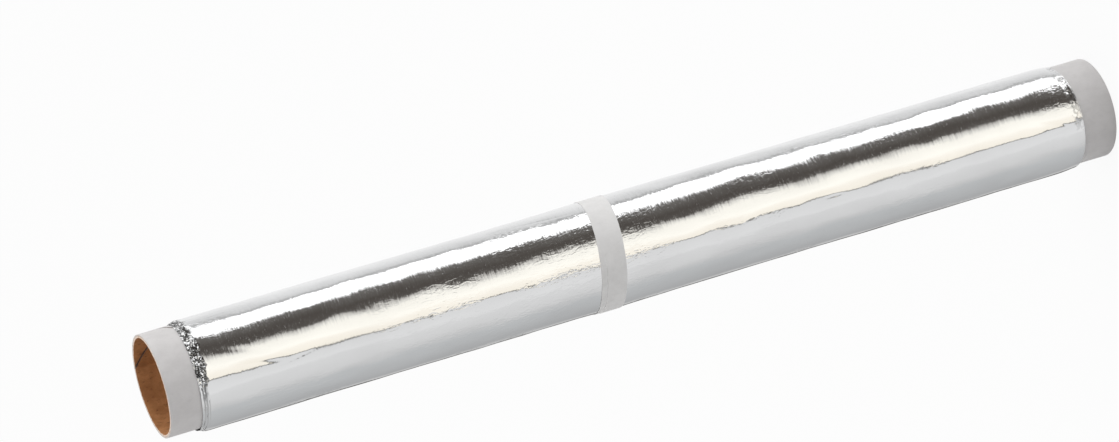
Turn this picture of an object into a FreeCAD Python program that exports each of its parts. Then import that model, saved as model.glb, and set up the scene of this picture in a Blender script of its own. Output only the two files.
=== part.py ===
import FreeCAD, Part
import math
import os

# A roll of kitchen foil that stands on the lower end of its core, in millimetres.
# The origin is the centre of the core's lower end face, and +Z runs up the core's axis.
# A paper core of two plies, each a strip wound in a helix, carries the foil winding,
# and a narrow paper band closes the winding.

# Core
CORE_LENGTH = 300.0
BORE_DIAMETER = 28.0
INNER_PLY_THICKNESS = 0.5
OUTER_PLY_THICKNESS = 0.5
PLY_RISE_PER_TURN = 61.5
PLY_SEAM_WIDTH = 0.3
PLY_SEAM_DEPTH = 0.3
INNER_SEAM_ANGLE_AT_TOP = 64.0
OUTER_SEAM_ANGLE_AT_TOP = 32.0

# Foil winding
FOIL_WIDTH = 280.0
CORE_SHOWN_BELOW_FOIL = 10.8
WINDING_THICKNESS = 0.87
WINDING_SLACK = 0.27
WINDING_SEAT_CLEARANCE = 0.05
FREE_EDGE_ANGLE = 60.0
FREE_EDGE_LIFT = 0.15
FREE_EDGE_SPAN = 20.0

# Ends of the winding: a spiral stair of turns, then a taper crimped into pleats
END_TURNS = 3
END_TURN_STEP = 0.5
SPIRAL_STATIONS = 24
UPPER_CRIMP_LENGTH = 4.0
LOWER_CRIMP_LENGTH = 7.0
CRIMP_DEPTH = 0.42
PLEAT_COUNT = 40
PLEAT_DEPTH = 0.4
PLEAT_DEPTH_SPREAD = 0.3
PLEAT_SPACING_SPREAD = 0.25
PLEAT_UNEVENNESS = 2.4

# Closure tape, a skewed band whose tail laps over its own start
TAPE_WIDTH = 7.8
TAPE_THICKNESS = 0.12
TAPE_CENTRE_HEIGHT = 163.4
TAPE_SKEW = 7.7
TAPE_HIGH_SIDE_ANGLE = -150.0
TAPE_TAIL_WIDTH = 6.0
TAPE_TAIL_FROM_ANGLE = -250.0
TAPE_TAIL_TO_ANGLE = -92.0

BORE_RADIUS = BORE_DIAMETER / 2
PLY_JOINT_RADIUS = BORE_RADIUS + INNER_PLY_THICKNESS
CORE_RADIUS = PLY_JOINT_RADIUS + OUTER_PLY_THICKNESS
WINDING_BORE_RADIUS = CORE_RADIUS + WINDING_SLACK
WINDING_RADIUS = WINDING_BORE_RADIUS + WINDING_THICKNESS
WINDING_SHIFT = WINDING_SLACK - WINDING_SEAT_CLEARANCE
FOIL_BOTTOM = CORE_SHOWN_BELOW_FOIL
FOIL_TOP = CORE_SHOWN_BELOW_FOIL + FOIL_WIDTH

# Tools that cut or trim run past what they trim by this much
OVERRUN = 2.0
UP = FreeCAD.Vector(0, 0, 1)
ORIGIN = FreeCAD.Vector(0, 0, 0)


def polar(radius, angle, height=0.0):
    """Point at a radius, an angle in degrees and a height."""
    turn = math.radians(angle)
    return FreeCAD.Vector(radius * math.cos(turn), radius * math.sin(turn), height)


def tube(inner_radius, outer_radius, bottom, top):
    """Round tube about the Z axis."""
    base = FreeCAD.Vector(0, 0, bottom)
    outside = Part.makeCylinder(outer_radius, top - bottom, base)
    return outside.cut(Part.makeCylinder(inner_radius, top - bottom, base))


def helical_seam(bare_radius, into_ply, angle_at_top):
    """Channel between the neighbouring turns of a wound strip, open on the ply's bare side.

    It goes into the ply outward where into_ply is 1 and inward where it is -1.
    """
    middle = bare_radius + into_ply * (PLY_SEAM_DEPTH - PLY_SEAM_WIDTH) / 2
    half_radial = (PLY_SEAM_DEPTH + PLY_SEAM_WIDTH) / 2
    lead_angle = math.atan2(PLY_RISE_PER_TURN, 2 * math.pi * middle)
    half_axial = PLY_SEAM_WIDTH / 2 / math.cos(lead_angle)
    run = CORE_LENGTH + 2 * OVERRUN
    path = Part.Wire(Part.makeHelix(PLY_RISE_PER_TURN, run, middle).Edges)
    corners = [
        FreeCAD.Vector(middle + across * half_radial, 0, along * half_axial)
        for across, along in ((-1, -1), (1, -1), (1, 1), (-1, 1), (-1, -1))
    ]
    seam = path.makePipeShell([Part.makePolygon(corners)], True, True)
    turned = (run - OVERRUN) / PLY_RISE_PER_TURN * 360
    seam.rotate(ORIGIN, UP, angle_at_top - turned)
    seam.translate(FreeCAD.Vector(0, 0, -OVERRUN))
    return seam


def core_inner_ply():
    """Brown ply that lines the bore, where its seam shows."""
    wall = tube(BORE_RADIUS, PLY_JOINT_RADIUS, 0, CORE_LENGTH)
    return wall.cut(helical_seam(BORE_RADIUS, 1, INNER_SEAM_ANGLE_AT_TOP))


def core_outer_ply():
    """Pale ply wound over the brown one, with its seam on the outside."""
    wall = tube(PLY_JOINT_RADIUS, CORE_RADIUS, 0, CORE_LENGTH)
    return wall.cut(helical_seam(CORE_RADIUS, -1, OUTER_SEAM_ANGLE_AT_TOP))


def wound_prism(radius, bottom, top):
    """Upright prism with the winding's section: round, but rising to the lifted free edge.

    The skin leaves the round part smoothly, so halfway along it has risen by a quarter.
    """
    lift_starts = FREE_EDGE_ANGLE - FREE_EDGE_SPAN
    lift_middle = FREE_EDGE_ANGLE - FREE_EDGE_SPAN / 2
    round_start = polar(radius, FREE_EDGE_ANGLE, bottom)
    round_middle = polar(radius, lift_middle + 180, bottom)
    round_end = polar(radius, lift_starts, bottom)
    halfway_up = polar(radius + FREE_EDGE_LIFT / 4, lift_middle, bottom)
    free_edge = polar(radius + FREE_EDGE_LIFT, FREE_EDGE_ANGLE, bottom)
    edges = [
        Part.Arc(round_start, round_middle, round_end).toShape(),
        Part.Arc(round_end, halfway_up, free_edge).toShape(),
        Part.LineSegment(free_edge, round_start).toShape(),
    ]
    return Part.Face(Part.Wire(edges)).extrude(UP * (top - bottom))


def outside_of_turn(turn, bottom, top):
    """All that lies outside one turn of the spiral stair, as an upright ring.

    The turn starts half a pitch below its middle radius and ends half a pitch above it.
    """
    half_pitch = WINDING_THICKNESS / (2 * END_TURNS + 1)
    spiral_points = []
    for station in range(SPIRAL_STATIONS + 1):
        part_of_turn = station / SPIRAL_STATIONS
        radius = WINDING_BORE_RADIUS + half_pitch * (2 * turn - 1 + 2 * part_of_turn)
        spiral_points.append(polar(radius, 360 * part_of_turn, bottom))
    spiral = Part.BSplineCurve()
    spiral.interpolate(spiral_points)
    step = Part.LineSegment(spiral_points[-1], spiral_points[0])
    inside = Part.Face(Part.Wire([spiral.toShape(), step.toShape()])).extrude(UP * (top - bottom))
    base = FreeCAD.Vector(0, 0, bottom)
    return Part.makeCylinder(WINDING_RADIUS + OVERRUN, top - bottom, base).cut(inside)


def pleat_outline(scale, height):
    """Star of ridges and valleys, one corner each, at a height and scaled about the axis.

    Neighbouring pleats differ in depth and spacing.
    """
    corners = []
    for corner in range(2 * PLEAT_COUNT):
        uneven = math.sin(corner * PLEAT_UNEVENNESS)
        angle = (corner + PLEAT_SPACING_SPREAD * uneven) * 180 / PLEAT_COUNT
        valley = corner % 2
        depth = PLEAT_DEPTH * (1 - PLEAT_DEPTH_SPREAD * (1 - uneven))
        reach = WINDING_RADIUS - CRIMP_DEPTH - valley * depth
        corners.append(polar(reach * scale, angle, height))
    return corners


def pleated_cone(crimp_start, edge):
    """Tapering space that crimps one end: clear of the winding at its start, pleated at the edge.

    The two outlines are alike, so every side of every pleat is flat.
    """
    deepest = WINDING_RADIUS - CRIMP_DEPTH - PLEAT_DEPTH
    clear_of_winding = (WINDING_RADIUS + FREE_EDGE_LIFT) / deepest
    past_edge = 0.2
    wide = pleat_outline(clear_of_winding, crimp_start)
    narrow_scale = 1 - past_edge * (clear_of_winding - 1)
    narrow = pleat_outline(narrow_scale, edge + past_edge * (edge - crimp_start))
    faces = [Part.Face(Part.makePolygon(outline + outline[:1])) for outline in (wide, narrow)]
    for corner in range(len(wide)):
        before = corner - 1
        side = [wide[before], wide[corner], narrow[corner], narrow[before], wide[before]]
        faces.append(Part.Face(Part.makePolygon(side)))
    return Part.makeSolid(Part.makeShell(faces))


def crimped_space():
    """Space that the crimped winding fills: a plain middle with a pleated cone at each end."""
    lower_start = FOIL_BOTTOM + LOWER_CRIMP_LENGTH
    upper_start = FOIL_TOP - UPPER_CRIMP_LENGTH
    base = FreeCAD.Vector(0, 0, lower_start)
    middle = Part.makeCylinder(WINDING_RADIUS + OVERRUN, upper_start - lower_start, base)
    return pleated_cone(lower_start, FOIL_BOTTOM), middle, pleated_cone(upper_start, FOIL_TOP)


def foil_winding():
    """The whole winding as one solid, seated on the core with its slack on the -X side."""
    winding = wound_prism(WINDING_RADIUS, FOIL_BOTTOM, FOIL_TOP)
    base = FreeCAD.Vector(0, 0, FOIL_BOTTOM)
    winding = winding.cut(Part.makeCylinder(WINDING_BORE_RADIUS, FOIL_WIDTH, base))
    for turn in range(1, END_TURNS):
        depth = turn * END_TURN_STEP
        winding = winding.cut(outside_of_turn(turn, FOIL_BOTTOM - OVERRUN, FOIL_BOTTOM + depth))
        winding = winding.cut(outside_of_turn(turn, FOIL_TOP - depth, FOIL_TOP + OVERRUN))
    pieces = [winding.common(space) for space in crimped_space()]
    winding = pieces[0].fuse(pieces[1:]).removeSplitter()
    winding.translate(FreeCAD.Vector(-WINDING_SHIFT, 0, 0))
    return winding


def skewed_slab(width, centre_height):
    """Wide slab between two parallel planes, tilted as the band is."""
    half = 3 * WINDING_RADIUS
    slab = Part.makeBox(2 * half, 2 * half, width, FreeCAD.Vector(-half, -half, -width / 2))
    slab.rotate(ORIGIN, FreeCAD.Vector(0, 1, 0), -TAPE_SKEW)
    slab.rotate(ORIGIN, UP, TAPE_HIGH_SIDE_ANGLE)
    slab.translate(FreeCAD.Vector(0, 0, centre_height))
    return slab


def wound_layer(inner_radius, width, centre_height):
    """One layer of tape that follows the winding's section between the two skewed edges."""
    reach = width / 2 + 2 * WINDING_RADIUS * math.tan(math.radians(TAPE_SKEW))
    bottom = centre_height - reach
    top = centre_height + reach
    layer = wound_prism(inner_radius + TAPE_THICKNESS, bottom, top)
    layer = layer.cut(wound_prism(inner_radius, bottom, top))
    return layer.common(skewed_slab(width, centre_height))


def sector(from_angle, to_angle, bottom, top):
    """Upright wedge between two angles, with its edge on the Z axis."""
    reach = 2 * WINDING_RADIUS
    start = polar(reach, from_angle, bottom)
    middle = polar(reach, (from_angle + to_angle) / 2, bottom)
    end = polar(reach, to_angle, bottom)
    centre = FreeCAD.Vector(0, 0, bottom)
    edges = [
        Part.LineSegment(centre, start).toShape(),
        Part.Arc(start, middle, end).toShape(),
        Part.LineSegment(end, centre).toShape(),
    ]
    return Part.Face(Part.Wire(edges)).extrude(UP * (top - bottom))


def closure_tape():
    """The band's first turn, and the tail that goes on over it, flush at the lower edge."""
    tail_height = TAPE_CENTRE_HEIGHT - (TAPE_WIDTH - TAPE_TAIL_WIDTH) / 2
    tail = wound_layer(WINDING_RADIUS + TAPE_THICKNESS, TAPE_TAIL_WIDTH, tail_height)
    tail_space = sector(TAPE_TAIL_FROM_ANGLE, TAPE_TAIL_TO_ANGLE, FOIL_BOTTOM, FOIL_TOP)
    band = wound_layer(WINDING_RADIUS, TAPE_WIDTH, TAPE_CENTRE_HEIGHT)
    band = band.fuse(tail.common(tail_space)).removeSplitter()
    band.translate(FreeCAD.Vector(-WINDING_SHIFT, 0, 0))
    return band


NODES = {
    "core_inner_ply": core_inner_ply,
    "core_outer_ply": core_outer_ply,
    "foil_winding": foil_winding,
    "closure_tape": closure_tape,
}


def main():
    os.makedirs("parts", exist_ok=True)
    for name, build in NODES.items():
        shape = build()
        shape.exportStep("parts/" + name + ".step")
        print(name, "solids", len(shape.Solids), "valid", shape.isValid(), "volume", round(shape.Volume, 1))


main()
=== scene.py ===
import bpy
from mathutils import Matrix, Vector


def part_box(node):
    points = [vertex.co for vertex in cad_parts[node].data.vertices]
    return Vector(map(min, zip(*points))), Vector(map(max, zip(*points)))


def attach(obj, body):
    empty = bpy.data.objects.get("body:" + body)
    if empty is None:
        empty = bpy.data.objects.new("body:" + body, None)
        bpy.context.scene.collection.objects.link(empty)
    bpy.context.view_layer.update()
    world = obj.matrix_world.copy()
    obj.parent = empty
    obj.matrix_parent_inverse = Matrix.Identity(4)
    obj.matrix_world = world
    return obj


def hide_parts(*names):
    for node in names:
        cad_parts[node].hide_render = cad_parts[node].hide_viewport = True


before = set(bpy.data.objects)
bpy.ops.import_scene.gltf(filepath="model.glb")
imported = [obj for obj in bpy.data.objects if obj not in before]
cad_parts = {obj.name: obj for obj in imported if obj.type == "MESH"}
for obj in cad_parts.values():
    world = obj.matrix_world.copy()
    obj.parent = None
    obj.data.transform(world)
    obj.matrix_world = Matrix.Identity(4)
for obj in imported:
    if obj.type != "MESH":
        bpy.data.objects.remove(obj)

"""A roll of kitchen foil on a paper core, standing on its end in a plain pale studio.

Lengths are in metres. The roll's axis is the Z axis, and the camera looks along +Y,
turned on its side, so the standing roll lies across the picture.
"""

import logging
import math
from dataclasses import dataclass, field
from enum import Enum
from typing import Callable

import bmesh
import bpy
from mathutils import Matrix, Vector, noise

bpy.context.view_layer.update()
MM = 0.001
ACROSS = Vector((1, 0, 0))
AWAY = Vector((0, 1, 0))
UP = Vector((0, 0, 1))
TAPE_HEIGHT = 163.4 * MM
PLY_THICKNESS = 0.5 * MM
INNER_SEAM_ANGLE = 64.0
OUTER_SEAM_ANGLE = 32.0
MIDDLE = Vector((0.5, 0.5, 0.5))
NOISE_MEAN = 0.5
WELD_DISTANCE = 1e-7
log = logging.getLogger("foil_roll")

Colour = tuple[float, float, float]
Settings = dict[str, object]


class Finish(Enum):
    """The material slots of the roll."""

    KRAFT = "kraft_paper"
    CORE_PAPER = "core_paper"
    FOIL = "foil"
    TAPE = "tape_paper"


class End(Enum):
    """The two ends of the roll: the sign says which way along Z the end points."""

    LOWER = -1
    UPPER = 1


def smooth_step(low: float, high: float, value: float) -> float:
    """Rise from 0 at low to 1 at high, level at both.

    Args:
        low: Value at which the rise starts.
        high: Value at which the rise ends.
        value: Where to read the curve.

    Returns:
        A share from 0 to 1.
    """
    share = min(max((value - low) / (high - low), 0.0), 1.0)
    return share * share * (3 - 2 * share)


def around(angle: float, cells: float, height: float = 0.0) -> Vector:
    """Point for noise that closes on itself round the roll; cells is noise cells in a radian."""
    return Vector((math.cos(angle) * cells, math.sin(angle) * cells, height))


def per_end(lower: float | tuple[float, float], upper: float | tuple[float, float]) -> dict:
    """Default of a dataclass field that has one value for each end of the roll."""
    return field(default_factory=lambda: {End.LOWER: lower, End.UPPER: upper})


@dataclass(frozen=True)
class Grain:
    """Noise of a surface: cells in a metre along X, Y and Z, octaves, and their weight."""

    cells: tuple[float, float, float]
    detail: float = 2.0
    rough: float = 0.5


class Field:
    """A number that varies over a surface: a shader socket on which Python's operators work."""

    def __init__(self, graph: "Graph", socket: bpy.types.NodeSocket) -> None:
        """Keep the graph and one output socket of a node in it."""
        self.graph = graph
        self.socket = socket

    def _math(self, operation: str, first: "Field | float", second: "Field | float") -> "Field":
        """Result of one Math node."""
        return self.graph.node("ShaderNodeMath", {"operation": operation}, {0: first, 1: second})

    def __add__(self, other: "Field | float") -> "Field":
        """Sum."""
        return self._math("ADD", self, other)

    def __radd__(self, other: float) -> "Field":
        """Sum with a number on the left."""
        return self._math("ADD", other, self)

    def __sub__(self, other: "Field | float") -> "Field":
        """Difference."""
        return self._math("SUBTRACT", self, other)

    def __rsub__(self, other: float) -> "Field":
        """Difference from a number on the left."""
        return self._math("SUBTRACT", other, self)

    def __mul__(self, other: "Field | float") -> "Field":
        """Product."""
        return self._math("MULTIPLY", self, other)

    def __rmul__(self, other: float) -> "Field":
        """Product with a number on the left."""
        return self._math("MULTIPLY", other, self)

    def __truediv__(self, other: "Field | float") -> "Field":
        """Quotient."""
        return self._math("DIVIDE", self, other)

    def __abs__(self) -> "Field":
        """Size without its sign."""
        return self._math("ABSOLUTE", self, 0.0)

    def fraction(self) -> "Field":
        """Part after the decimal point."""
        return self._math("FRACT", self, 0.0)

    def angle_from(self, along: "Field") -> "Field":
        """Angle of the point that has this field across and the other along, in radians."""
        return self._math("ARCTAN2", self, along)

    def between(self, low: float, high: float) -> "Field":
        """Smooth rise from 0 where the field is low to 1 where it is high."""
        inputs = {"Value": self, 1: low, 2: high}
        return self.graph.node("ShaderNodeMapRange", {"interpolation_type": "SMOOTHSTEP"}, inputs)


class Graph:
    """The node tree of one material or of the world."""

    def __init__(self, tree: bpy.types.NodeTree) -> None:
        """Empty the tree to build in."""
        self.tree = tree
        tree.nodes.clear()

    def node(self, kind: str, settings: Settings | None = None,
             inputs: dict[str | int, object] | None = None, output: str | int = 0) -> Field:
        """Add any node: its settings first, then the values or links of its sockets.

        Args:
            kind: Node type.
            settings: Properties of the node; stops are a ramp's positions and colours.
            inputs: Sockets by name or number, with a Field to link or a value to set.
            output: Output socket to return.

        Returns:
            The chosen output.
        """
        made = self.tree.nodes.new(kind)
        for name, value in (settings or {}).items():
            if name == "stops":
                self._set_stops(made.color_ramp, value)
            else:
                setattr(made, name, value)
        for name, value in (inputs or {}).items():
            socket = made.inputs[name]
            if isinstance(value, Field):
                self.tree.links.new(value.socket, socket)
            else:
                socket.default_value = value
        return Field(self, made.outputs[output]) if len(made.outputs) else Field(self, None)

    @staticmethod
    def _set_stops(ramp: bpy.types.ColorRamp, stops: list[tuple[float, Colour]]) -> None:
        """Write a colour ramp.

        Args:
            ramp: Ramp to fill.
            stops: Positions from 0 to 1 in rising order, with their colours.
        """
        while len(ramp.elements) < len(stops):
            ramp.elements.new(0.5)
        for element, (position, colour) in zip(ramp.elements, stops):
            element.position = position
            element.color = (*colour, 1.0)

    def point(self) -> Field:
        """Object coordinates."""
        return self.node("ShaderNodeTexCoord", output="Object")

    def parts(self, vector: Field) -> tuple[Field, ...]:
        """The three coordinates of a vector."""
        first = self.node("ShaderNodeSeparateXYZ", {}, {0: vector})
        return tuple(Field(self, output) for output in first.socket.node.outputs)

    def place(self, scale: tuple[float, float, float]) -> Field:
        """Object coordinates, stretched to so many cells in a metre along X, Y and Z."""
        return self.node("ShaderNodeMapping", {}, {"Vector": self.point(), "Scale": scale})

    def noise(self, grain: Grain) -> Field:
        """Noise over the surface, about 0.5 on average."""
        inputs = {"Vector": self.place(grain.cells), "Scale": 1.0,
                  "Detail": grain.detail, "Roughness": grain.rough}
        return self.node("ShaderNodeTexNoise", {}, inputs, "Fac")

    def vector(self, operation: str, first: Field | Vector, second: Field | Vector,
               output: str = "Vector") -> Field:
        """Result of one Vector Math node."""
        settings = {"operation": operation}
        return self.node("ShaderNodeVectorMath", settings, {0: first, 1: second}, output)

    def along(self, vector: Field, way: Vector) -> Field:
        """Length of a vector along a direction."""
        return self.vector("DOT_PRODUCT", vector, way, "Value")

    def toward(self, way: Vector) -> Field:
        """How far the surface lies from the origin in one direction, in metres."""
        return self.along(self.point(), way)

    def push(self, normal: Field, way: Field, amount: Field) -> Field:
        """Push a normal over.

        Args:
            normal: Normal to push.
            way: Direction of the push.
            amount: Length of the push, as a share of the normal.

        Returns:
            The new normal.
        """
        inputs = {0: way, "Scale": amount}
        scaled = self.node("ShaderNodeVectorMath", {"operation": "SCALE"}, inputs)
        return self.vector("NORMALIZE", self.vector("ADD", normal, scaled), Vector())

    def facets(self, cells: float) -> Field:
        """Small facets, so many in a metre, each with three random numbers from 0 to 1."""
        inputs = {"Vector": self.place((cells, cells, cells)), "Scale": 1.0}
        return self.node("ShaderNodeTexVoronoi", {"feature": "F1"}, inputs, "Color")

    def lean(self, normal: Field, slope: Field) -> Field:
        """Lean a normal sideways, round the upright axis.

        Args:
            normal: Normal to lean.
            slope: How far it leans, as a tangent.

        Returns:
            The leaning normal.
        """
        around_axis = self.vector("CROSS_PRODUCT", UP, self.point())
        sideways = self.vector("NORMALIZE", around_axis, Vector())
        return self.push(normal, sideways, slope)

    def mix(self, factor: Field | float, first: Field | Colour, second: Field | Colour) -> Field:
        """Mix two colours.

        Args:
            factor: Share of the second colour.
            first: Colour at 0.
            second: Colour at 1.

        Returns:
            The mixed colour.
        """
        inputs: dict[str | int, object] = {0: factor}
        for number, colour in ((6, first), (7, second)):
            inputs[number] = colour if isinstance(colour, Field) else (*colour, 1.0)
        return self.node("ShaderNodeMix", {"data_type": "RGBA"}, inputs, 2)

    def bump(self, height: Field, distance: float, below: Field | None = None) -> Field:
        """Bump from a height.

        Args:
            height: Height in units of the distance.
            distance: Depth in metres of a height of 1.
            below: Normal of a bump that this one lies on.

        Returns:
            The bent normal.
        """
        inputs: dict[str | int, object] = {"Height": height, "Distance": distance, "Strength": 1.0}
        if below is not None:
            inputs["Normal"] = below
        return self.node("ShaderNodeBump", {}, inputs)

    def surface(self, inputs: dict[str | int, object]) -> None:
        """Finish a material with the general surface shader, given its inputs."""
        shader = self.node("ShaderNodeBsdfPrincipled", {}, inputs)
        self.node("ShaderNodeOutputMaterial", {}, {"Surface": shader})


def new_material(finish: Finish) -> tuple[bpy.types.Material, Graph]:
    """Start a material with an empty graph.

    Args:
        finish: Slot that the material is for.

    Returns:
        The material and its graph.
    """
    material = bpy.data.materials.new(finish.value)
    material.use_nodes = True
    return material, Graph(material.node_tree)


@dataclass(frozen=True)
class Crush:
    """A crushed stretch along one edge of the foil, with painted shade on some of its facets."""

    end: End
    edge: float
    length: float
    angle: float
    cosines: tuple[float, float]
    turn: float
    cells: float
    # Share of painted shade mixed into the shaded facets.
    depth: float = 0.0
    # Colour of the painted shade in the folds.
    fold: Colour = (0.05, 0.048, 0.045)
    radius: float = 16.0 * MM
    ragged: Grain = Grain((500.0, 500.0, 500.0))
    ragged_share: float = 0.9
    fade_from: float = 0.75
    # Random values of the facets that get painted shade; open_folds picks the larger patches where
    # it shows.
    shaded_facets: tuple[float, float] = (0.6, 0.85)
    open_folds: tuple[float, float] = (0.1, 0.4)
    folds_per_facet: float = 0.5

    def share(self, graph: Graph) -> Field:
        """How crushed the foil is: 1 at the edge on the crushed side, 0 elsewhere.

        Args:
            graph: Graph of the foil's material.

        Returns:
            The share.
        """
        ragged = (graph.noise(self.ragged) - NOISE_MEAN) * (self.ragged_share * self.length)
        inward = (self.edge - graph.toward(UP)) * self.end.value + ragged
        way = Vector((math.cos(self.angle), math.sin(self.angle), 0))
        none, full = (cosine * self.radius for cosine in self.cosines)
        faded = inward.between(self.fade_from * self.length, self.length)
        return graph.toward(way).between(none, full) * (1 - faded)

    def apply(self, graph: Graph, metal: Field, normal: Field) -> tuple[Field, Field]:
        """Crush the foil: facets face every way, and some are darkened with painted shade, as if
        deep in the folds.

        Args:
            graph: Graph of the foil's material.
            metal: Colour of the smooth foil.
            normal: Normal of the smooth foil.

        Returns:
            The colour and the normal of the crushed foil.
        """
        share = self.share(graph)
        facets = graph.facets(self.cells)
        way = graph.vector("SUBTRACT", facets, MIDDLE)
        # Painted shade: a random choice of facets, in random patches, is darkened towards the fold
        # colour.
        painted_shade = 1 - graph.along(facets, UP).between(*self.shaded_facets)
        folds = graph.facets(self.folds_per_facet * self.cells)
        painted_shade = painted_shade * graph.along(folds, ACROSS).between(*self.open_folds)
        colour = graph.mix(share * painted_shade * self.depth, metal, self.fold)
        return colour, graph.push(normal, way, share * self.turn)


@dataclass(frozen=True)
class FoilFinish:
    """Bright rolled foil: a soft mirror with fine streaks, rubbed duller along one side."""

    metal: Colour = (0.92, 0.925, 0.93)
    dull_metal: Colour = (0.84, 0.84, 0.845)
    dull_share: float = 0.5
    polish: float = 0.045
    haze: float = 0.04
    patches: Grain = Grain((60.0, 60.0, 45.0), 3.0)
    dull_patches: tuple[float, float] = (0.35, 0.8)
    hazy_patches: tuple[float, float] = (0.3, 0.75)
    streaks: Grain = Grain((190.0, 190.0, 3400.0), 2.0, 0.55)
    streak_lean: float = 0.045
    scratches: Grain = Grain((900.0, 900.0, 2600.0), 3.0, 0.7)
    scratched: tuple[float, float] = (0.45, 0.74)
    rub_lean: float = 0.095
    rub_haze: float = 0.22
    rub_from: float = -1.0 * MM
    rub_to: float = 4.0 * MM
    sway: Grain = Grain((50.0, 50.0, 34.0))
    sway_lean: float = 0.23
    sway_unrubbed: float = 0.2
    creases: Grain = Grain((700.0, 700.0, 900.0), 3.0, 0.6)
    crease_depth: float = 0.009 * MM
    wrinkles: Grain = Grain((380.0, 380.0, 150.0), 3.0, 0.6)
    wrinkle_width: float = 0.09
    wrinkle_depth: float = 0.022 * MM
    wrinkle_patches: Grain = Grain((42.0, 42.0, 30.0))
    wrinkled: tuple[float, float] = (0.45, 0.64)

    def bumps(self, graph: Graph) -> Field:
        """Normal of the foil's fine creases, with the patches of wrinkles on them.

        Args:
            graph: Graph of the foil's material.

        Returns:
            The bent normal.
        """
        creases = graph.bump(graph.noise(self.creases), self.crease_depth)
        from_wrinkle = abs(graph.noise(self.wrinkles) - NOISE_MEAN)
        beside_wrinkle = from_wrinkle.between(0.0, self.wrinkle_width)
        where = graph.noise(self.wrinkle_patches).between(*self.wrinkled)
        return graph.bump((1 - beside_wrinkle) * where, self.wrinkle_depth, creases)

    def material(self, crushes: tuple[Crush, ...]) -> bpy.types.Material:
        """Build the material.

        Args:
            crushes: The crushed stretches.

        Returns:
            The foil's material.
        """
        material, graph = new_material(Finish.FOIL)
        patches = graph.noise(self.patches)
        rubbed = graph.toward(ACROSS).between(self.rub_from, self.rub_to)
        scratched = graph.noise(self.scratches).between(*self.scratched) * rubbed
        streak_lean = self.streak_lean + self.rub_lean * rubbed
        sway_lean = self.sway_lean * (self.sway_unrubbed + (1 - self.sway_unrubbed) * rubbed)
        lean = (graph.noise(self.streaks) - NOISE_MEAN) * streak_lean
        lean = lean + (graph.noise(self.sway) - NOISE_MEAN) * sway_lean
        normal = graph.lean(self.bumps(graph), lean)
        dull = patches.between(*self.dull_patches) * self.dull_share
        metal = graph.mix(dull, self.metal, self.dull_metal)
        haze = self.haze * patches.between(*self.hazy_patches)
        # Each crushed stretch tilts facets and darkens some of them with painted shade.
        for crush in crushes:
            metal, normal = crush.apply(graph, metal, normal)
        graph.surface({
            "Base Color": metal,
            "Metallic": 1.0,
            "Roughness": self.polish + haze + self.rub_haze * scratched,
            "Normal": normal,
        })
        return material


@dataclass(frozen=True)
class PaperFinish:
    """Paper or board: two mottled tones, fibres, a faint tooth and, on the core, a paler rim and a
    seam darkened partly with painted shade.
    """

    finish: Finish
    pale: Colour
    deep: Colour
    fibre: Colour
    fibre_share: float
    roughness: float
    tooth_depth: float
    roughness_spread: float = 0.12
    mottle: Grain = Grain((260.0, 260.0, 190.0), 4.0, 0.65)
    mottled: tuple[float, float] = (0.3, 0.7)
    fibres: Grain = Grain((1400.0, 1400.0, 600.0), 3.0, 0.65)
    fibrous: tuple[float, float] = (0.56, 0.72)
    tooth: Grain = Grain((2600.0, 2600.0, 2600.0), 2.0, 0.6)
    tooth_share: float = 0.6
    rim: Colour | None = None
    rim_depth: float = 0.06 * MM
    rim_spread: float = 4.0
    ragged: Grain = Grain((900.0, 900.0, 900.0), 2.0, 0.7)
    # Colour of the seam: painted shade of the gap between the strip's edges, with the cut edges'
    # own darker tone.
    seam_shade: Colour = (0.16, 0.12, 0.10)
    seam_share: float = 0.75
    seam_reach: tuple[float, float] = (0.2 * MM, 0.55 * MM)

    def with_rim(self, graph: Graph, face: Field, length: float) -> Field:
        """Give the cut ends of a core their paler, ragged tone.

        Args:
            graph: Graph of the material.
            face: Colour of the paper's face.
            length: Length of the core.

        Returns:
            The colour of faces and cut ends.
        """
        spread = self.rim_spread * self.rim_depth
        ragged = graph.noise(self.ragged) * spread
        from_middle = abs(graph.toward(UP) - length / 2) + ragged - NOISE_MEAN * spread
        rim = from_middle.between(length / 2 - self.rim_depth, length / 2)
        return graph.mix(rim, face, self.rim)

    def with_seam(self, graph: Graph, face: Field, length: float, rise: float,
                  angle: float) -> Field:
        """Darken the two edges of the strip that meet in a core's helical seam: the cut edges' own
        darker tone, and painted shade of the gap between them.
            face: Colour of the paper's face.
            length: Length of the core.
            rise: Rise of the seam in one turn.
            angle: Angle of the seam at the upper end, in degrees.

        Returns:
            The colour with the shaded seam.
        """
        turn = graph.toward(AWAY).angle_from(graph.toward(ACROSS)) / (2 * math.pi)
        after_seam = turn + (length - graph.toward(UP)) / rise + (0.5 - angle / 360)
        aside = abs(after_seam.fraction() - 0.5) * rise
        # Painted shade beside the seam, fading out within seam_reach.
        shade = self.seam_share * (1 - aside.between(*self.seam_reach))
        return graph.mix(shade, face, self.seam_shade)

    def material(self, length: float = 0.0, rise: float = 0.0,
                 angle: float = 0.0) -> bpy.types.Material:
        """Build the material; the three lengths are given where the paper is a ply of a core.

        Args:
            length: Length of the core.
            rise: Rise of the ply's seam in one turn.
            angle: Angle of the seam at the upper end, in degrees.

        Returns:
            The paper's material.
        """
        material, graph = new_material(self.finish)
        mottle = graph.noise(self.mottle)
        fibres = graph.noise(self.fibres)
        relief = self.tooth_share * graph.noise(self.tooth) + (1 - self.tooth_share) * fibres
        ground = graph.mix(mottle.between(*self.mottled), self.pale, self.deep)
        spots = fibres.between(*self.fibrous) * self.fibre_share
        face = graph.mix(spots, ground, self.fibre)
        if self.rim:
            face = self.with_seam(graph, face, length, rise, angle)
            face = self.with_rim(graph, face, length)
        graph.surface({
            "Base Color": face,
            "Roughness": self.roughness + self.roughness_spread * (mottle - NOISE_MEAN),
            "Normal": graph.bump(relief, self.tooth_depth),
        })
        return material


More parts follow.
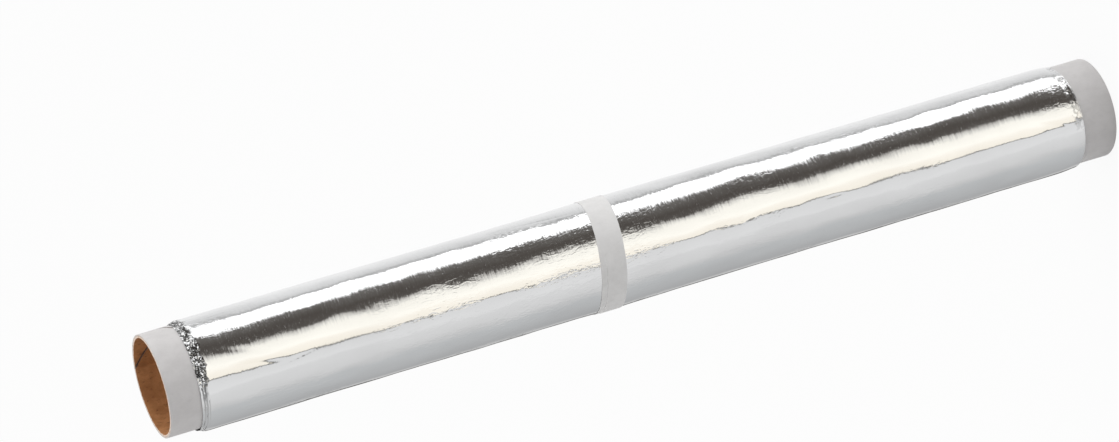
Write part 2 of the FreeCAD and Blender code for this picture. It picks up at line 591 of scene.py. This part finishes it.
KRAFT_PAPER = PaperFinish(
    Finish.KRAFT, pale=(0.52, 0.242, 0.092), deep=(0.34, 0.143, 0.046), fibre=(0.165, 0.065, 0.022),
    fibre_share=0.85, roughness=0.78, tooth_depth=0.05 * MM, rim=(0.68, 0.56, 0.47))
CORE_PAPER = PaperFinish(
    Finish.CORE_PAPER, pale=(0.655, 0.638, 0.634), deep=(0.605, 0.588, 0.584),
    fibre=(0.525, 0.508, 0.504), fibre_share=0.25, roughness=0.55, tooth_depth=0.012 * MM,
    rim=(0.50, 0.45, 0.41))
TAPE_PAPER = PaperFinish(
    Finish.TAPE, pale=(0.765, 0.757, 0.75), deep=(0.715, 0.707, 0.70), fibre=(0.625, 0.617, 0.61),
    fibre_share=0.3, roughness=0.62, tooth_depth=0.02 * MM)


def add_object(name: str, data: bpy.types.ID) -> bpy.types.Object:
    """Make an object at the origin and put it in the scene.

    Args:
        name: Name of the object.
        data: Its mesh, lamp or camera.

    Returns:
        The object.
    """
    made = bpy.data.objects.new(name, data)
    bpy.context.scene.collection.objects.link(made)
    return made


def finish_piece(name: str, mesh_in_work: bmesh.types.BMesh, material: bpy.types.Material,
                 node: str, crease_angle: float = 40.0) -> bpy.types.Object:
    """Turn a bmesh into a dressed piece that stands for a node.

    Args:
        name: Piece name.
        mesh_in_work: The finished bmesh, which is freed.
        material: Material of the piece.
        node: Node that the piece replaces.
        crease_angle: Edges that turn by more degrees than this stay sharp.

    Returns:
        The piece.
    """
    bmesh.ops.remove_doubles(mesh_in_work, verts=mesh_in_work.verts, dist=WELD_DISTANCE)
    bmesh.ops.recalc_face_normals(mesh_in_work, faces=mesh_in_work.faces)
    for face in mesh_in_work.faces:
        face.smooth = True
    mesh = bpy.data.meshes.new(name)
    mesh_in_work.to_mesh(mesh)
    mesh_in_work.free()
    mesh.set_sharp_from_angle(angle=math.radians(crease_angle))
    mesh.materials.append(material)
    piece = add_object(name, mesh)
    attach(piece, "root")
    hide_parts(node)
    mesh.calc_loop_triangles()
    log.info("%s: %d triangles", name, len(mesh.loop_triangles))
    return piece


def spin_profile(points: list[tuple[float, float]], steps: int, closed: bool = True,
                 centre: Vector = Vector((0, 0, 0)), angle: float = 2 * math.pi,
                 start: float = 0.0, rise: float = 0.0) -> bmesh.types.BMesh:
    """Spin a profile about an upright axis.

    Args:
        points: Radius and height of each corner of the profile.
        steps: Steps of the spin.
        closed: Whether the profile's last corner joins its first.
        centre: A point of the axis.
        angle: Angle of the whole spin.
        start: Angle at which the profile starts.
        rise: How far the profile climbs over the whole spin.

    Returns:
        A bmesh of the spun surface.
    """
    work = bmesh.new()
    across = Vector((math.cos(start), math.sin(start), 0))
    corners = [work.verts.new(centre + across * radius + UP * height)
               for radius, height in points]
    edges = [work.edges.new(pair) for pair in zip(corners, corners[1:])]
    if closed:
        edges.append(work.edges.new((corners[-1], corners[0])))
    whole = math.isclose(angle, 2 * math.pi) and rise == 0
    bmesh.ops.spin(work, geom=corners + edges, cent=centre, axis=UP, angle=angle, steps=steps,
                   dvec=UP * (rise / steps), use_merge=whole)
    return work


def reshape(work: bmesh.types.BMesh, centre: Vector,
            move: Callable[[float, float, float], tuple[float, float]]) -> None:
    """Move every vertex to a new radius and height, at its own angle.

    Args:
        work: Mesh to move.
        centre: A point of the upright axis.
        move: Takes an angle, a radius and a height, and gives the new radius and height.
    """
    for vertex in work.verts:
        x = vertex.co.x - centre.x
        y = vertex.co.y - centre.y
        angle = math.atan2(y, x)
        radius, height = move(angle, math.hypot(x, y), vertex.co.z)
        place = Vector((math.cos(angle) * radius, math.sin(angle) * radius, height))
        vertex.co = centre + place


@dataclass
class CorePly:
    """One ply of the core: a paper strip wound in a right-handed helix, its edges almost met."""

    name: str
    node: str
    paper: PaperFinish
    inner_radius: float
    outer_radius: float
    seam_angle_at_top: float
    length: float
    rise_per_turn: float = 61.5 * MM
    seam_width: float = 0.3 * MM
    spare_turns: int = 2
    steps_per_turn: int = 144
    edge_round: float = 0.09 * MM
    edge_rounds: int = 2
    rim_tolerance: float = 0.001 * MM
    rim_angle: float = math.radians(60)

    def strip(self) -> bmesh.types.BMesh:
        """Wind the strip past both ends and trim it square.

        Returns:
            A bmesh of the trimmed strip.
        """
        lead = math.atan2(self.rise_per_turn, 2 * math.pi * self.outer_radius)
        half = self.rise_per_turn / 2 - self.seam_width / 2 / math.cos(lead)
        section = [(self.inner_radius, -half), (self.outer_radius, -half),
                   (self.outer_radius, half), (self.inner_radius, half)]
        turns = math.ceil(self.length / self.rise_per_turn) + self.spare_turns
        seam_at_top = self.length / self.rise_per_turn * 2 * math.pi
        start = math.radians(self.seam_angle_at_top) - seam_at_top
        work = spin_profile(section, turns * self.steps_per_turn, angle=turns * 2 * math.pi,
                            start=start, rise=turns * self.rise_per_turn)
        bmesh.ops.translate(work, verts=work.verts, vec=UP * (-self.rise_per_turn / 2))
        for height, normal in ((0.0, -UP), (self.length, UP)):
            self.trim(work, height, normal)
            self.round_rim(work, height)
        return work

    def round_rim(self, work: bmesh.types.BMesh, height: float) -> None:
        """Round the sharp edges of a cut end.

        Args:
            work: Mesh to round.
            height: Height of the cut end.
        """
        bmesh.ops.recalc_face_normals(work, faces=work.faces)
        rim = [edge for edge in work.edges
               if all(abs(vertex.co.z - height) < self.rim_tolerance for vertex in edge.verts)
               and edge.calc_face_angle(0.0) > self.rim_angle]
        bmesh.ops.bevel(work, geom=rim, offset=self.edge_round, segments=self.edge_rounds,
                        profile=0.5, affect="EDGES", material=-1)

    @staticmethod
    def trim(work: bmesh.types.BMesh, height: float, outward: Vector) -> None:
        """Cut the strip square and close the cut.

        Args:
            work: Mesh to cut.
            height: Height of the cut.
            outward: Side that is thrown away.
        """
        everything = work.verts[:] + work.edges[:] + work.faces[:]
        cut = bmesh.ops.bisect_plane(work, geom=everything, plane_co=UP * height, plane_no=outward,
                                     clear_outer=True)
        rim = [item for item in cut["geom_cut"] if isinstance(item, bmesh.types.BMEdge)]
        bmesh.ops.triangle_fill(work, edges=rim, use_beauty=True)

    def build(self) -> bpy.types.Object:
        """Build and dress the ply.

        Returns:
            The piece.
        """
        work = self.strip()
        paper = self.paper.material(self.length, self.rise_per_turn, self.seam_angle_at_top)
        return finish_piece(self.name, work, paper, self.node)


@dataclass(frozen=True)
class Crease:
    """One sharp crease in the foil's skin, nearly along the roll; its angle is in degrees."""

    angle: float
    height: float
    half_length: float
    slant: float = 0.0
    depth: float = 0.05 * MM
    half_width: float = 0.35 * MM


@dataclass(frozen=True)
class Wave:
    """One soft random wave round the roll: cells in a radian, and a cell's length along it."""

    cells: float
    length: float = 1.0
    offset: float = 0.0

    def at(self, angle: float, height: float = 0.0) -> float:
        """The wave at one place, from about -1 to 1."""
        return noise.noise(around(angle, self.cells, height / self.length + self.offset))


@dataclass
class FoilWinding:
    """The wound foil: one skin with waves, a lifted free edge, and telescoped, crimped ends."""

    low: Vector
    high: Vector
    tape_height: float
    bore_radius: float = 15.27 * MM
    free_edge_angle: float = math.radians(60)
    free_edge_lift: float = 0.14 * MM
    free_edge_span: float = math.radians(20)
    turns_shown: int = 4
    turn_step: dict[End, float] = per_end(0.12 * MM, 0.6 * MM)
    edge_thickness: float = 0.06 * MM
    tip_curl: float = 0.06 * MM
    tip_length: float = 0.3 * MM
    tip_rows: tuple[float, ...] = (0.0, 0.4, 0.7, 1.0)
    undercut: float = 0.4 * MM
    wave_depth: float = 0.30 * MM
    wave_mean: float = 0.5
    broad: Wave = Wave(1.1, 45 * MM)
    broad_share: float = 0.45
    ripple: Wave = Wave(1.9, 13 * MM, 7.0)
    ripple_share: float = 0.3
    dimple: Wave = Wave(4.5, 6 * MM, 31.0)
    dimple_depth: float = 0.075 * MM
    dimple_mean: float = 0.5
    least_depth: float = 0.02 * MM
    pinch_length: float = 9 * MM
    pinch_share: float = 0.95
    columns: int = 400
    plain_row: float = 2.0 * MM
    crimp_row: float = 0.2 * MM
    facet_size: float = 0.85 * MM
    facet_seed: float = 17.0
    facet_tilt: float = 1.3
    fold_width: float = 0.25
    fold_rise: float = 0.8
    pleat: Wave = Wave(14.0, 7 * MM)
    pleat_rise: float = 2.6
    pleat_slant: float = 0.5
    gather: Wave = Wave(4.0, offset=17.0)
    gathered: tuple[float, float] = (-0.35, 0.3)
    rough_side: dict[End, float] = per_end(math.radians(-44), math.radians(-47))
    rough_cosines: dict[End, tuple[float, float]] = per_end((0.84, 0.95), (0.50, 0.66))
    calm_share: float = 0.04
    creases_pressed: tuple[Crease, ...] = (
        Crease(-98, 271 * MM, 7 * MM, 0.10),
        Crease(-103, 262 * MM, 5 * MM, -0.06, 0.07 * MM),
        Crease(-80, 276 * MM, 9 * MM, 0.20, 0.08 * MM, 0.6 * MM),
        Crease(-101, 94 * MM, 3 * MM, 0.15, 0.08 * MM),
        Crease(-105, 21 * MM, 6 * MM, -0.05),
        Crease(-92, 24 * MM, 8 * MM, 0.16, 0.06 * MM, 0.5 * MM),
        Crease(-30, 180 * MM, 12 * MM, 0.08),
        Crease(-42, 215 * MM, 10 * MM, -0.10, 0.06 * MM),
    )
    crimp_length: dict[End, float] = per_end(7 * MM, 5 * MM)
    crimp_depth: dict[End, float] = per_end(0.34 * MM, 0.22 * MM)
    even_share: float = 0.35
    crumple_depth: dict[End, float] = per_end(0.05 * MM, 0.60 * MM)
    crumple_reach: tuple[float, float] = (0.55, 0.5)
    crumple_fade: tuple[float, float] = (0.6, 1.3)
    crumple_cells: float = 2.5
    crumple_offset: float = 21.0
    pleat_depth: dict[End, float] = per_end(0.24 * MM, 0.15 * MM)
    pleat_length: dict[End, float] = per_end(3.2 * MM, 3 * MM)
    pleat_fade_from: float = 0.5
    ragged_cells: float = 3.0
    ragged_offset: float = 11.0
    most_proud: float = 0.05 * MM
    layer_room: float = 0.05 * MM
    bore_room: float = 0.02 * MM
    turn_slack: float = 0.01

    @property
    def radius(self) -> float:
        """Outer radius of the winding."""
        return (self.high.x - self.low.x) / 2

    @property
    def centre(self) -> Vector:
        """Foot of the winding's own axis, which lies off the core's axis."""
        return Vector(((self.high.x + self.low.x) / 2, 0, 0))

    @property
    def turn_pitch(self) -> float:
        """Radial room of one shown turn."""
        return (self.radius - self.bore_radius) / self.turns_shown

    def edge_of(self, end: End) -> float:
        """Height of the foil's edge at one end."""
        return self.high.z if end is End.UPPER else self.low.z

    def stair_depth(self, end: End) -> float:
        """Length of the stair that the turns' edges make at one end."""
        return max(self.turns_shown * self.turn_step[end], 2 * self.tip_length)

    def stair(self, end: End) -> list[tuple[float, float]]:
        """Profile of one end, from the skin inward: each turn has an edge and a gap behind it.

        Args:
            end: Which end.

        Returns:
            Radii and heights.
        """
        points = []
        for turn in range(self.turns_shown):
            skin = self.radius - turn * self.turn_pitch
            back = self.turns_shown - 1 - turn
            tip = self.edge_of(end) - end.value * back * self.turn_step[end]
            root = tip - end.value * self.undercut
            if turn:
                points.append((skin, root - end.value * self.turn_step[end]))
            for share in self.tip_rows:
                points.append((skin - self.tip_curl * share ** 2,
                               tip - end.value * self.tip_length * (1 - share)))
            inside = skin - self.tip_curl - self.edge_thickness
            points.append((inside, tip))
            if back:
                points.append((inside, root))
        points.append((self.bore_radius, self.edge_of(end)))
        return points

    def skin_rows(self) -> list[float]:
        """Heights of the outer skin's rows, close together in the crimped ends.

        Returns:
            Heights from the lower end up.
        """
        first = self.low.z + self.stair_depth(End.LOWER)
        last = self.high.z - self.stair_depth(End.UPPER)
        lower_plain = self.low.z + self.crimp_length[End.LOWER]
        upper_plain = self.high.z - self.crimp_length[End.UPPER]
        rows = []
        for start, stop, gap in ((first, lower_plain, self.crimp_row),
                                 (lower_plain, upper_plain, self.plain_row),
                                 (upper_plain, last, self.crimp_row)):
            count = round((stop - start) / gap)
            rows += [start + (stop - start) * row / count for row in range(count)]
        return rows + [last]

    def profile(self) -> list[tuple[float, float]]:
        """Closed section: outer skin up, upper stair in, bore down, lower stair out."""
        skin = [(self.radius, height) for height in self.skin_rows()]
        return skin + self.stair(End.UPPER) + self.stair(End.LOWER)[::-1]

    def waves(self, angle: float, height: float) -> float:
        """Depth of the long soft waves of the skin.

        Args:
            angle: Angle round the winding's axis.
            height: Height above the floor.

        Returns:
            Depth below the full radius.
        """
        broad = self.broad_share * self.broad.at(angle, height)
        ripple = self.ripple_share * self.ripple.at(angle, height)
        pinch = math.exp(-((height - self.tape_height) / self.pinch_length) ** 2)
        dimple = self.dimple_depth * (self.dimple_mean + self.dimple.at(angle, height))
        depth = max(self.wave_depth * (self.wave_mean + broad + ripple), 0.0) + dimple
        depth = max(depth * (1 - self.pinch_share * pinch), 0.0)
        return depth + self.least_depth * (1 - pinch) + self.creases(angle, height)

    def creases(self, angle: float, height: float) -> float:
        """Depth of the few sharp creases pressed into the skin.

        Args:
            angle: Angle round the winding's axis.
            height: Height above the floor.

        Returns:
            Depth below the waves.
        """
        depth = 0.0
        for crease in self.creases_pressed:
            along = (height - crease.height) / crease.half_length
            if abs(along) < 1:
                bend = crease.slant * along
                turned = angle - math.radians(crease.angle) - bend
                aside = turned * self.radius / crease.half_width
                depth += crease.depth * (1 - along * along) * math.exp(-aside * aside)
        return depth

    def crimp(self, end: End, angle: float, height: float) -> float:
        """Depth of the taper, the pleats and the crumple at one end.

        Args:
            end: Which end.
            angle: Angle round the winding's axis.
            height: Height above the floor.

        Returns:
            Depth below the plain skin.
        """
        inward = (self.edge_of(end) - height) * end.value
        length = self.crimp_length[end]
        share = 1 - smooth_step(0.0, length, inward)
        if share <= 0:
            return 0.0
        tight = share ** 3
        facing = math.cos(angle - self.rough_side[end])
        rough = smooth_step(*self.rough_cosines[end], facing)
        side = self.calm_share + (1 - self.calm_share) * rough
        pleated = self.pleat_length[end]
        fade_from = self.pleat_fade_from * pleated
        gathered = side * (1 - smooth_step(fade_from, pleated, inward))
        mean, spread = self.crumple_reach
        offset = self.crumple_offset * end.value
        wander = noise.noise(around(angle, self.crumple_cells, offset))
        reach = length * (mean + spread * wander)
        fades, gone = (part * reach for part in self.crumple_fade)
        crushed = side * (1 - smooth_step(fades, gone, inward))
        depth = self.crimp_depth[end] * (self.even_share * share + (1 - self.even_share) * tight)
        depth += self.pleats(angle, inward) * self.pleat_depth[end] * gathered
        return depth + self.facets(angle, inward) * self.crumple_depth[end] * crushed

    def pleats(self, angle: float, inward: float) -> float:
        """Small slanting pleats that gather the foil's edge.

        Args:
            angle: Angle round the winding's axis.
            inward: Distance from the foil's edge.

        Returns:
            A share of the pleats' depth, 0 on the ridges.
        """
        slanted = angle + self.pleat_slant * inward / self.radius
        fold = abs(self.pleat.at(slanted, inward))
        return self.pleat_rise * fold * smooth_step(*self.gathered, self.gather.at(angle))

    def facets(self, angle: float, inward: float) -> float:
        """Crushed foil: flat facets, each tilted its own way, with raised folds between them.

        Args:
            angle: Angle round the winding's axis.
            inward: Distance from the foil's edge.

        Returns:
            A share of the crumple's depth, about 0 on average.
        """
        point = around(angle, self.radius / self.facet_size, inward / self.facet_size)
        distances, centres = noise.voronoi(point)
        tilt = noise.cell_vector(centres[0] * self.facet_seed) - MIDDLE
        fold = max(self.fold_width - (distances[1] - distances[0]), 0.0)
        return self.facet_tilt * tilt.dot(point - centres[0]) - self.fold_rise * fold

    def free_edge(self, angle: float) -> float:
        """Lift of the skin towards the free edge of the last turn, above the plain skin."""
        before = (self.free_edge_angle - angle) / self.free_edge_span
        return self.free_edge_lift * (1 - before) ** 2 if 0 <= before < 1 else 0.0

    def settle(self, angle: float, radius: float, height: float) -> tuple[float, float]:
        """Where a point of the plain winding lies on the real one.

        Args:
            angle: Angle round the winding's axis.
            radius: Plain radius.
            height: Plain height.

        Returns:
            Radius and height.
        """
        if radius < self.bore_radius + 0.5 * self.bore_room:
            return radius, height
        turn = int((self.radius - radius) / self.turn_pitch + self.turn_slack)
        end = End.UPPER if height > self.tape_height else End.LOWER
        depth = self.crimp(end, angle, height)
        inward = (self.edge_of(end) - height) * end.value
        near = 1 - smooth_step(self.stair_depth(end), 2 * self.stair_depth(end), inward)
        ragged = 0.0
        if near > 0:
            offset = self.ragged_offset * turn + end.value
            wander = noise.noise(around(angle, self.ragged_cells, offset))
            ragged = near * abs(wander) * self.turn_step[end]
        if turn == 0:
            depth += self.waves(angle, height) - self.free_edge(angle)
        below = (self.turns_shown - 1 - turn) * self.layer_room
        room = radius - self.bore_radius - self.bore_room - below
        return radius - min(max(depth, -self.most_proud), room), height - end.value * ragged

    def build(self) -> bpy.types.Object:
        """Build and dress the winding.

        Returns:
            The piece.
        """
        work = spin_profile(self.profile(), self.columns, centre=self.centre)
        reshape(work, self.centre, self.settle)
        # depth is the share of painted shade on the darkened facets: strong at the upper end, light
        # at the lower.
        crushes = (
            Crush(End.UPPER, self.high.z, length=3.4 * MM, angle=math.radians(-47),
                  cosines=(0.52, 0.64), turn=0.9, cells=3000.0, depth=0.97),
            Crush(End.LOWER, self.low.z, length=3.4 * MM, angle=math.radians(-72),
                  cosines=(0.72, 0.92), turn=0.16, cells=1500.0, depth=0.35),
        )
        return finish_piece("wound_foil", work, FoilFinish().material(crushes),
                            "foil_winding", crease_angle=60.0)


@dataclass
class ClosureTape:
    """The paper band: a skewed turn and the tail that laps over it."""

    centre: Vector
    winding_radius: float
    height: float
    width: float = 7.8 * MM
    thickness: float = 0.117 * MM
    skew: float = 2.2 * MM
    high_side: float = math.radians(-150)
    tail_width: float = 6.0 * MM
    tail_from: float = math.radians(-250)
    tail_to: float = math.radians(-92)
    wander: float = 0.12 * MM
    wander_cells: float = 2.0
    edge_offset: dict[End, float] = per_end(9.0, 5.0)
    dent: Wave = Wave(4.0, 3 * MM)
    dent_depth: float = 0.03 * MM
    rows: int = 12
    columns: int = 300

    def section(self, inner_radius: float, width: float,
                height: float) -> list[tuple[float, float]]:
        """Closed section of one layer.

        Args:
            inner_radius: Radius that the layer lies on.
            width: Width of the layer.
            height: Height of its middle before the skew.

        Returns:
            Radii and heights.
        """
        heights = [height + width * (row / self.rows - 0.5) for row in range(self.rows + 1)]
        outer = inner_radius + self.thickness
        outside = [(outer, level) for level in heights]
        return outside + [(inner_radius, level) for level in heights[::-1]]

    def lay(self, angle: float, radius: float, height: float) -> tuple[float, float]:
        """Skew a point of the band and give its edges a slight wander.

        Args:
            angle: Angle round the winding's axis.
            radius: Plain radius.
            height: Plain height.

        Returns:
            Radius and height.
        """
        end = End.UPPER if height > self.height else End.LOWER
        wander = self.wander * noise.noise(around(angle, self.wander_cells, self.edge_offset[end]))
        dent = abs(self.dent.at(angle, height)) * self.dent_depth
        return radius - dent, height + self.skew * math.cos(angle - self.high_side) + wander

    def build(self) -> bpy.types.Object:
        """Build and dress the band.

        Returns:
            The piece.
        """
        band_section = self.section(self.winding_radius, self.width, self.height)
        work = spin_profile(band_section, self.columns, centre=self.centre)
        tail_radius = self.winding_radius + self.thickness
        tail_height = self.height - (self.width - self.tail_width) / 2
        tail_section = self.section(tail_radius, self.tail_width, tail_height)
        sweep = self.tail_to - self.tail_from
        columns = round(self.columns * sweep / (2 * math.pi))
        tail = spin_profile(tail_section, columns, centre=self.centre, angle=sweep,
                            start=self.tail_from)
        bmesh.ops.holes_fill(tail, edges=[edge for edge in tail.edges if edge.is_boundary])
        tail_mesh = bpy.data.meshes.new("tail")
        tail.to_mesh(tail_mesh)
        tail.free()
        work.from_mesh(tail_mesh)
        bpy.data.meshes.remove(tail_mesh)
        reshape(work, self.centre, self.lay)
        return finish_piece("paper_band", work, TAPE_PAPER.material(),
                            "closure_tape")


@dataclass(frozen=True)
class Panel:
    """One upright panel that the foil mirrors: the azimuths of its edges, each with a colour."""

    start: float
    end: float
    start_colour: Colour
    end_colour: Colour


WHITE = (1.0, 1.0, 1.0, 1.0)


def grey(level: float) -> Colour:
    """A neutral colour."""
    return (level, level, level)


@dataclass
class Studio:
    """Pale floor, the panels round the roll, one soft lamp, and the camera."""

    panels: tuple[Panel, ...] = (
        Panel(-180, -168, (0.525, 0.536, 0.542), grey(0.61)),
        Panel(-160, -138, grey(0.67), grey(0.72)),
        Panel(-134, -112.6, grey(0.78), grey(0.74)),
        Panel(-112.0, -110.6, grey(0.015), grey(0.015)),
        Panel(-109.7, -99, (1.0, 0.942, 0.83), (1.04, 0.985, 0.885)),
        Panel(-91, -74, (1.12, 1.09, 1.0), (1.02, 0.99, 0.91)),
        Panel(-70, -63, (0.86, 0.84, 0.78), (0.55, 0.53, 0.5)),
        Panel(-59, -47, (0.095, 0.087, 0.079), (0.078, 0.069, 0.062)),
        Panel(-40, -22.5, (0.095, 0.086, 0.078), (0.15, 0.142, 0.134)),
        Panel(-15.5, 12, grey(1.6), grey(1.6)),
        Panel(14.5, 18, grey(0.38), grey(0.42)),
        Panel(24, 50, grey(0.66), grey(0.84)),
        Panel(58, 92, grey(0.87), grey(0.93)),
        Panel(96, 107, (0.10, 0.096, 0.09), (0.13, 0.125, 0.12)),
        Panel(112, 120, grey(0.62), grey(0.50)),
        Panel(125, 180, (0.41, 0.414, 0.418), (0.525, 0.536, 0.542)),
    )
    brightest: float = 1.6
    sides: tuple[float, float] = (0.42, 1.0)
    sides_rise: tuple[float, float] = (-0.8, 0.6)
    camera_side: float = 0.14
    camera_side_rise: tuple[float, float] = (0.3, 0.85)
    overhead: float = 1.45
    overhead_rise: tuple[float, float] = (0.45, 0.85)
    underfoot: float = 0.62
    underfoot_share: float = 0.6
    underfoot_rise: tuple[float, float] = (-0.8, -0.6)
    horizon: tuple[float, float] = (-0.12, 0.04)
    floor_size: float = 6.0
    floor_tint: Grain = Grain((3.0, 3.0, 3.0))
    floor_paint: tuple[float, float] = (0.71, 0.73)
    floor_white: float = 0.9
    lamp_size: float = 1.2
    lamp_watts: float = 11.6
    lamp_place: Vector = Vector((1.7, -0.62, 0.2))
    lamp_aim: Vector = Vector((0, 0, 0.15))
    camera_place: Vector = Vector((0.0, -1.2257, 0.5951))
    camera_pitch: float = math.radians(19.069)
    camera_yaw: float = math.radians(-0.570)
    camera_roll: float = math.radians(-106.361)
    focal_pixels: float = 4523.85
    picture_width: int = 1119
    sensor: float = 36.0
    sight: float = 50.0

    def shade(self, level: float) -> Colour:
        """A grey of the surround, dimmed as its panels are."""
        return grey(level / self.brightest)

    def stops(self) -> list[tuple[float, Colour]]:
        """Stops of the ramp that holds the panels, dimmed so that the brightest is 1.

        Returns:
            Positions from 0 to 1, with their colours.
        """
        stops = []
        for panel in self.panels:
            edges = ((panel.start, panel.start_colour), (panel.end, panel.end_colour))
            for azimuth, colour in edges:
                dimmed = tuple(part / self.brightest for part in colour)
                stops.append(((azimuth + 180) / 360, dimmed))
        return stops

    def surround(self) -> None:
        """Light the world: panels below the horizon, a soft dome above, white to the camera."""
        world = bpy.data.worlds.new("studio")
        bpy.context.scene.world = world
        world.use_nodes = True
        graph = Graph(world.node_tree)
        x, y, z = graph.parts(graph.node("ShaderNodeTexCoord", output="Generated"))
        turn = y.angle_from(x) / (2 * math.pi) + 0.5
        panels = graph.node("ShaderNodeValToRGB", {"stops": self.stops()}, {0: turn})
        towards_camera = (0.0 - y).between(*self.camera_side_rise)
        dark, bright = (self.shade(level) for level in self.sides)
        wall = graph.mix(x.between(*self.sides_rise), dark, bright)
        wall = graph.mix(towards_camera, wall, self.shade(self.camera_side))
        dome = graph.mix(z.between(*self.overhead_rise), wall, self.shade(self.overhead))
        faint_panels = graph.mix(self.underfoot_share, panels, self.shade(self.underfoot))
        ground = graph.mix(z.between(*self.underfoot_rise), faint_panels, panels)
        light = graph.mix(z.between(*self.horizon), ground, dome)
        seen = graph.node("ShaderNodeLightPath", output="Is Camera Ray")
        lit = graph.node("ShaderNodeBackground", {}, {"Color": light, "Strength": self.brightest})
        plain = graph.node("ShaderNodeBackground", {}, {"Color": WHITE, "Strength": 1.0})
        both = graph.node("ShaderNodeMixShader", {}, {0: seen, 1: lit, 2: plain})
        graph.node("ShaderNodeOutputWorld", {}, {"Surface": both})

    def floor(self) -> None:
        """Lay a pale floor that shows white to the camera and keeps some shadow."""
        work = bmesh.new()
        bmesh.ops.create_grid(work, x_segments=1, y_segments=1, size=self.floor_size)
        mesh = bpy.data.meshes.new("floor")
        work.to_mesh(mesh)
        work.free()
        material = bpy.data.materials.new("floor")
        material.use_nodes = True
        graph = Graph(material.node_tree)
        paint = graph.mix(graph.noise(self.floor_tint), *map(grey, self.floor_paint))
        matt = graph.node("ShaderNodeBsdfDiffuse", {}, {"Color": paint})
        white = graph.node("ShaderNodeEmission", {}, {"Color": WHITE, "Strength": 1.0})
        seen = graph.node("ShaderNodeLightPath", output="Is Camera Ray")
        shown = seen * self.floor_white
        both = graph.node("ShaderNodeMixShader", {}, {0: shown, 1: matt, 2: white})
        graph.node("ShaderNodeOutputMaterial", {}, {"Surface": both})
        mesh.materials.append(material)
        floor = add_object("floor", mesh)
        floor.visible_glossy = False

    def lamp(self) -> None:
        """Hang one large soft lamp on the +X side; the foil doesn't mirror it."""
        light = bpy.data.lights.new("soft_box", "AREA")
        light.shape = "RECTANGLE"
        light.size = self.lamp_size
        light.size_y = self.lamp_size
        light.energy = self.lamp_watts
        lamp = add_object("soft_box", light)
        aimed = (self.lamp_aim - self.lamp_place).to_track_quat("-Z", "Y").to_matrix().to_4x4()
        lamp.matrix_world = Matrix.Translation(self.lamp_place) @ aimed
        lamp.visible_glossy = False

    def camera(self) -> None:
        """Place the camera beside the roll, turned so that the roll lies across the picture."""
        back = Vector((math.sin(self.camera_yaw) * math.cos(self.camera_pitch),
                       -math.cos(self.camera_yaw) * math.cos(self.camera_pitch),
                       math.sin(self.camera_pitch)))
        level = Vector((math.cos(self.camera_yaw), math.sin(self.camera_yaw), 0))
        steep = back.cross(level)
        right = math.cos(self.camera_roll) * level + math.sin(self.camera_roll) * steep
        up = math.cos(self.camera_roll) * steep - math.sin(self.camera_roll) * level
        lens = bpy.data.cameras.new("camera")
        lens.sensor_fit = "HORIZONTAL"
        lens.sensor_width = self.sensor
        lens.lens = self.focal_pixels / self.picture_width * self.sensor
        lens.clip_end = self.sight
        camera = add_object("camera", lens)
        turned = Matrix((right, up, back)).transposed().to_4x4()
        camera.matrix_world = Matrix.Translation(self.camera_place) @ turned
        bpy.context.scene.camera = camera

    def build(self) -> None:
        """Set up the whole studio."""
        bpy.context.scene.view_settings.view_transform = "Standard"
        self.surround()
        self.floor()
        self.lamp()
        self.camera()


def main() -> None:
    """Build the roll and its studio."""
    logging.basicConfig(level=logging.INFO, format="%(message)s")
    _, inner_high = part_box("core_inner_ply")
    _, outer_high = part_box("core_outer_ply")
    foil_low, foil_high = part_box("foil_winding")
    CorePly("core_liner", "core_inner_ply", KRAFT_PAPER, inner_high.x - PLY_THICKNESS,
            inner_high.x, INNER_SEAM_ANGLE, inner_high.z).build()
    CorePly("core_face", "core_outer_ply", CORE_PAPER, outer_high.x - PLY_THICKNESS,
            outer_high.x, OUTER_SEAM_ANGLE, outer_high.z).build()
    foil = FoilWinding(foil_low, foil_high, TAPE_HEIGHT)
    foil.build()
    ClosureTape(foil.centre, foil.radius, TAPE_HEIGHT).build()
    Studio().build()


if __name__ == "__main__":
    main()
